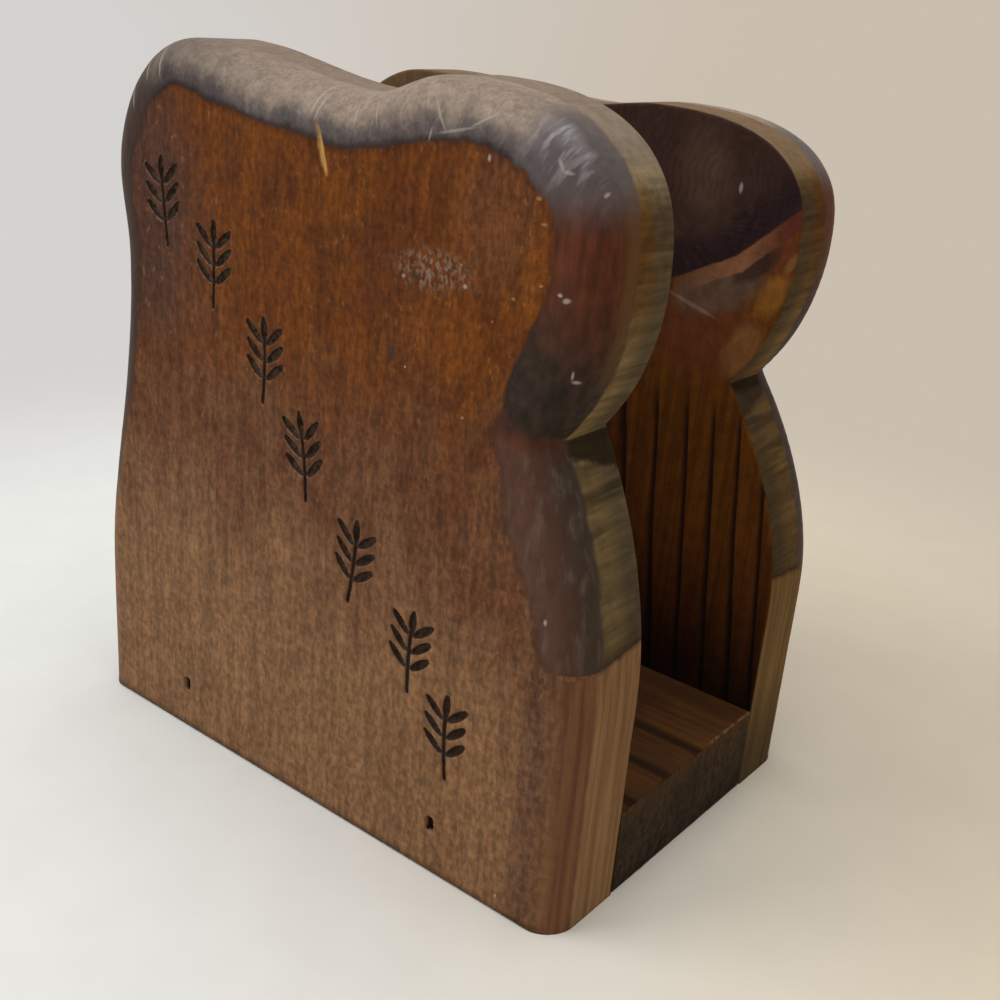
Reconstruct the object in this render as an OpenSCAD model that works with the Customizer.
// Napkin holder shaped like two slices of toast.
// Two thick wooden panels stand on edge with a base board nailed between them, and the
// napkins stand in the gap, which is open at the top and at both ends.
// X runs along the panels, Y from the front panel to the back one, Z up.
// The origin is on the table under the middle of the base board.

/* [Boards] */
// Width of the board that both panels are cut from
board_width = 140; // [130:1:160]
// Thickness of that board
panel_thickness = 21; // [16:0.5:26]
// Thickness of the base board
base_thickness = 20; // [14:0.5:26]
// Gap between the panels, which is also the width of the base board
napkin_gap = 53.5; // [40:0.5:70]
// How far each end of the base board stops short of the panels' edges
base_setback = 0; // [0:0.5:5]

/* [Front panel outline] */
// Height of the left crown
front_left_crown = 155; // [145:0.5:165]
// Height of the right crown
front_right_crown = 154.5; // [145:0.5:165]
// Height of the dip between the crowns
front_dip = 149.5; // [136:0.5:152]
// How far the left lobe stops short of the board's edge
front_left_lobe_inset = 7.5; // [2:0.5:9]
// How far the right lobe stops short of the board's edge
front_right_lobe_inset = 4.5; // [1:0.5:10]
// How far in from the board's edge the sharp notch under the right lobe is cut
front_notch_inset = 14; // [12:0.5:24]
// Height of that notch
front_notch_height = 97; // [85:0.5:100]

/* [Back panel outline] */
// Height of the left crown
back_left_crown = 149.5; // [145:0.5:165]
// Height of the right crown
back_right_crown = 149; // [145:0.5:165]
// Height of the dip between the crowns
back_dip = 147; // [136:0.5:152]
// How far the left lobe stops short of the board's edge
back_left_lobe_inset = 4; // [2:0.5:9]
// How far the right lobe stops short of the board's edge
back_right_lobe_inset = 7; // [1:0.5:10]
// How far in from the board's edge the sharp notch under the right lobe is cut
back_notch_inset = 18; // [12:0.5:24]
// Height of that notch
back_notch_height = 94; // [85:0.5:100]

/* [Both outlines] */
// Distance of the left crown from the board's left edge
left_crown_inset = 29; // [26:0.5:38]
// Distance of the right crown from the board's right edge
right_crown_inset = 44; // [34:0.5:48]
// Height at which the left lobe is widest
left_lobe_height = 128; // [122:0.5:132]
// Height at which the right lobe is widest
right_lobe_height = 125; // [118:0.5:130]
// How square the left lobe's upper corner is: 2 is an ellipse
left_squareness = 1.85; // [1.8:0.05:3]
// How square the right lobe's upper corner is
right_squareness = 2.65; // [1.8:0.05:3]
// Place of the dip: how far it lies to the left of the middle, and below 0 to the right
dip_offset = -7; // [-10:0.5:16]
// How far in from the board's left edge the shallow waist is cut
left_waist_inset = 10; // [9:0.5:16]
// Height of the waist
left_waist_height = 109; // [100:0.5:114]
// Height at which the straight left edge starts to curve in
left_shoulder = 30; // [15:0.5:60]
// Height at which the straight right edge starts to curve in
right_shoulder = 46; // [30:0.5:60]

/* [Rounded edge] */
// Radius worked along the outer edge of each panel
edge_radius = 7.5; // [3:0.5:10]

/* [Nails] */
// Length of a finishing nail
nail_length = 38; // [32:0.5:50]
// Diameter of its shank
nail_shank_d = 1.8; // [1.4:0.1:2.2]
// Diameter of its head
nail_head_d = 2.6; // [2.4:0.1:3.4]
// Height of its head
nail_head_height = 1.2; // [0.8:0.1:2]
// Length of its point
nail_point_length = 3; // [2:0.5:5]
// How deep the head is set below the panel's face
nail_set = 3; // [1:0.5:6]
// Distance of each front nail from the board's edge
front_nail_inset = 32; // [12:0.5:34]
// Distance of each back nail from the board's edge
back_nail_inset = 40; // [38:0.5:60]
// How far above the middle of the base board's edge the nails are driven
nail_rise = 1; // [-3:0.5:3]
// Clearance round a nail in its hole
nail_clearance = 0.05; // [0.02:0.01:0.2]

/* [Hidden] */

// Points along each curved stretch of the outline, and rings across the rounded edge
curve_steps = 11;
edge_rings = 5;
round_fn = 48;

depth = napkin_gap + 2 * panel_thickness;
half_width = board_width / 2;
base_length = board_width - 2 * base_setback;
nail_z = base_thickness / 2 + nail_rise;
nail_reach = nail_set + nail_length;

front_cut = [
    front_left_crown, front_right_crown, front_dip,
    front_left_lobe_inset, front_right_lobe_inset,
    front_notch_inset, front_notch_height
];
back_cut = [
    back_left_crown, back_right_crown, back_dip,
    back_left_lobe_inset, back_right_lobe_inset,
    back_notch_inset, back_notch_height
];

// ---- Outline of a panel, seen from the front, anticlockwise from the bottom left ----

// 0 to 1 with a level start and end
function ease(t) = (1 - cos(180 * t)) / 2;

// The share of a stretch at each of its points, without its last point
function shares() = [for (i = [0 : curve_steps - 1]) i / curve_steps];

// A stretch that leaves a and meets b upright, as at a waist
function upright_bend(a, b) = [
    for (t = shares()) [a[0] + (b[0] - a[0]) * ease(t), a[1] + (b[1] - a[1]) * t]
];

// A stretch that leaves a and meets b level, as at a crown or a dip
function level_bend(a, b) = [
    for (t = shares()) [a[0] + (b[0] - a[0]) * t, a[1] + (b[1] - a[1]) * ease(t)]
];

// The flank: upright at the shoulder, and leaning in more and more up to the notch
function flank(shoulder, notch) = [
    for (t = shares()) [
        shoulder[0] + (notch[0] - shoulder[0]) * t * t,
        shoulder[1] + (notch[1] - shoulder[1]) * t
    ]
];

// The underside of a lobe: part of an ellipse from the notch to the widest point
function underside(notch, crown_x, wide) =
    let (
        half = wide[0] - crown_x,
        start = acos((notch[0] - crown_x) / half),
        fall = (wide[1] - notch[1]) / sin(start)
    )
    [
        for (t = shares())
        let (a = start * (1 - t))
        [crown_x + half * cos(a), wide[1] - fall * sin(a)]
    ];

// The upper corner of a lobe, a quarter of a squared ellipse: from its widest point at
// angle 0 to its crown at angle 90
function corner_point(wide, crown, squareness, a) = [
    crown[0] + (wide[0] - crown[0]) * pow(cos(a), 2 / squareness),
    wide[1] + (crown[1] - wide[1]) * pow(sin(a), 2 / squareness)
];

function corner(wide, crown, squareness, from, to) = [
    for (t = shares()) corner_point(wide, crown, squareness, from + (to - from) * t)
];

function outline(cut) =
    let (
        left_crown = [left_crown_inset - half_width, cut[0]],
        right_crown = [half_width - right_crown_inset, cut[1]],
        dip = [-dip_offset, cut[2]],
        left_wide = [cut[3] - half_width, left_lobe_height],
        right_wide = [half_width - cut[4], right_lobe_height],
        notch = [half_width - cut[5], cut[6]],
        waist = [left_waist_inset - half_width, left_waist_height],
        left_shoulder_end = [-half_width, left_shoulder],
        right_shoulder_end = [half_width, right_shoulder]
    )
    concat(
        [[-half_width, 0], [half_width, 0]],
        flank(right_shoulder_end, notch),
        underside(notch, right_crown[0], right_wide),
        corner(right_wide, right_crown, right_squareness, 0, 90),
        level_bend(right_crown, dip),
        level_bend(dip, left_crown),
        corner(left_wide, left_crown, left_squareness, 90, 0),
        upright_bend(left_wide, waist),
        upright_bend(waist, left_shoulder_end),
        [left_shoulder_end]
    );

// The same outline as it is seen from behind
function turned_over(points) = [
    for (i = [len(points) - 1 : -1 : 0]) [-points[i][0], points[i][1]]
];

// ---- A panel: the outline carried through the board, drawn in round its outer face ----

function unit(v) = v / norm(v);
function inward(a, b) = unit([a[1] - b[1], b[0] - a[0]]);

// Which way a point of the outline moves when the edge is drawn in. The bottom edge
// stays on the table, so its two ends only move sideways.
function draw_in(points, i) =
    let (
        count = len(points),
        before = inward(points[(i + count - 1) % count], points[i]),
        after = inward(points[i], points[(i + 1) % count])
    )
    points[i][1] == 0 ? [-sign(points[i][0]), 0] : (before + after) / (1 + before * after);

// One ring of the panel, at depth y behind its outer face
function ring(points, inset, y) = [
    for (i = [0 : len(points) - 1])
    let (p = points[i] + inset * draw_in(points, i))
    [p[0], y, p[1]]
];

module rounded_board(points) {
    count = len(points);
    rings = concat(
        [
            for (k = [0 : edge_rings])
            let (a = 90 * k / edge_rings)
            ring(points, edge_radius * (1 - sin(a)), edge_radius * (1 - cos(a)))
        ],
        [ring(points, 0, panel_thickness)]
    );
    last = len(rings) - 1;
    walls = [
        for (k = [0 : last - 1], i = [0 : count - 1])
        let (j = (i + 1) % count, a = k * count, b = a + count)
        each [[a + i, a + j, b + j], [a + i, b + j, b + i]]
    ];
    outer_face = [for (i = [count - 1 : -1 : 0]) i];
    inner_face = [for (i = [0 : count - 1]) last * count + i];
    polyhedron(
        points = [for (r = rings) each r],
        faces = concat([outer_face, inner_face], walls),
        convexity = 6
    );
}

// ---- Nails and their holes, driven from the front face at y = 0 in the direction +Y ----

module along_y(from) {
    translate([0, from, 0]) rotate([-90, 0, 0]) children();
}

module nail_hole() {
    head_r = nail_head_d / 2 + nail_clearance;
    shank_r = nail_shank_d / 2 + nail_clearance;
    along_y(-1) cylinder(h = 1 + nail_set + nail_head_height, r = head_r, $fn = round_fn);
    along_y(0) cylinder(h = nail_reach + nail_clearance, r = shank_r, $fn = round_fn);
}

module nail() {
    shank_length = nail_length - nail_head_height - nail_point_length;
    shank_r = nail_shank_d / 2;
    color("dimgray") along_y(nail_set) union() {
        cylinder(h = nail_head_height, r = nail_head_d / 2, $fn = round_fn);
        translate([0, 0, nail_head_height]) {
            cylinder(h = shank_length, r = shank_r, $fn = round_fn);
            translate([0, 0, shank_length])
                cylinder(h = nail_point_length, r1 = shank_r, r2 = shank_r / 4, $fn = round_fn);
        }
    }
}

// Puts a child that is drawn for the front face at one nail's place, side -1 or 1
module at_nail(side, inset) {
    translate([side * (half_width - inset), -depth / 2, nail_z]) children();
}

// Turns what is drawn for the front round to the back
module at_back() {
    rotate([0, 0, 180]) children();
}

module nail_holes(inset) {
    for (side = [-1, 1]) at_nail(side, inset) nail_hole();
}

// ---- The pieces ----

module front_panel() {
    color("saddlebrown") difference() {
        translate([0, -depth / 2, 0]) rounded_board(outline(front_cut));
        nail_holes(front_nail_inset);
    }
}

module back_panel() {
    color("saddlebrown") at_back() difference() {
        translate([0, -depth / 2, 0]) rounded_board(turned_over(outline(back_cut)));
        nail_holes(back_nail_inset);
    }
}

module base_board() {
    color("sienna") difference() {
        translate([-base_length / 2, -napkin_gap / 2, 0])
            cube([base_length, napkin_gap, base_thickness]);
        nail_holes(front_nail_inset);
        at_back() nail_holes(back_nail_inset);
    }
}

module front_nail_left() { at_nail(-1, front_nail_inset) nail(); }
module front_nail_right() { at_nail(1, front_nail_inset) nail(); }
module back_nail_left() { at_back() at_nail(1, back_nail_inset) nail(); }
module back_nail_right() { at_back() at_nail(-1, back_nail_inset) nail(); }

front_panel();
back_panel();
base_board();
front_nail_left();
front_nail_right();
back_nail_left();
back_nail_right();
